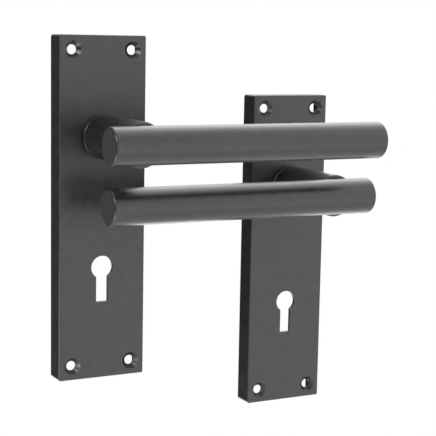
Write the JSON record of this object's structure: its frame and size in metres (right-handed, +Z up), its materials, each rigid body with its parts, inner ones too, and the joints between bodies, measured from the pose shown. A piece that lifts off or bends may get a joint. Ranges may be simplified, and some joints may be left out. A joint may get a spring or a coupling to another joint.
{
  "type": "lever handle on backplate",
  "caption": "Handed pair of round-bar lever handles, each on a tall rectangular backplate with a keyhole and countersunk fixing holes.",
  "frame": {"origin": "left handle's spindle axis on the plane of the door", "axes": "+Z up the door, +Y into the door, +X along the left handle's lever"},
  "size_m": [0.144, 0.0805, 0.177],
  "materials": {
    "powder_coated_plate": "matt black powder coat",
    "powder_coated_lever": "matt black powder coat",
    "black_nylon": "matt",
    "zinc_plated_steel": "zinc plated",
    "spring_steel": "oiled"
  },
  "bodies": {
    "plates": {"left_backplate": "powder_coated_plate", "left_neck_bush": "black_nylon", "left_return_spring": "spring_steel", "left_stop_pins": "zinc_plated_steel", "left_cover_plate": "zinc_plated_steel", "left_cover_screws": "zinc_plated_steel", "right_backplate": "powder_coated_plate", "right_neck_bush": "black_nylon", "right_return_spring": "spring_steel", "right_stop_pins": "zinc_plated_steel", "right_cover_plate": "zinc_plated_steel", "right_cover_screws": "zinc_plated_steel"},
    "left_lever": {"left_neck": "powder_coated_lever", "left_drive_plate": "spring_steel", "left_thrust_washer": "zinc_plated_steel", "left_retaining_ring": "spring_steel", "left_grip_tube": "powder_coated_lever", "left_grip_insert": "zinc_plated_steel", "left_inner_cap": "powder_coated_lever", "left_outer_cap": "powder_coated_lever", "left_grip_screw": "zinc_plated_steel", "left_grub_screw": "zinc_plated_steel"},
    "right_lever": {"right_neck": "powder_coated_lever", "right_drive_plate": "spring_steel", "right_thrust_washer": "zinc_plated_steel", "right_retaining_ring": "spring_steel", "right_grip_tube": "powder_coated_lever", "right_grip_insert": "zinc_plated_steel", "right_inner_cap": "powder_coated_lever", "right_outer_cap": "powder_coated_lever", "right_grip_screw": "zinc_plated_steel", "right_grub_screw": "zinc_plated_steel"}
  },
  "joints": [
    {"name": "left_lever_turn", "type": "hinge", "parent": "plates", "child": "left_lever", "pos_m": [0, 0, 0], "axis": [0, 1, 0], "range_deg": [0, 45], "stiffness_Nm_per_rad": 0.2, "springref_deg": -45.84, "deforming": ["left_return_spring"]},
    {"name": "right_lever_turn", "type": "hinge", "parent": "plates", "child": "right_lever", "pos_m": [0.104, 0.018, -0.027], "axis": [0, -1, 0], "range_deg": [0, 45], "stiffness_Nm_per_rad": 0.2, "springref_deg": -45.84, "deforming": ["right_return_spring"]}
  ]
}
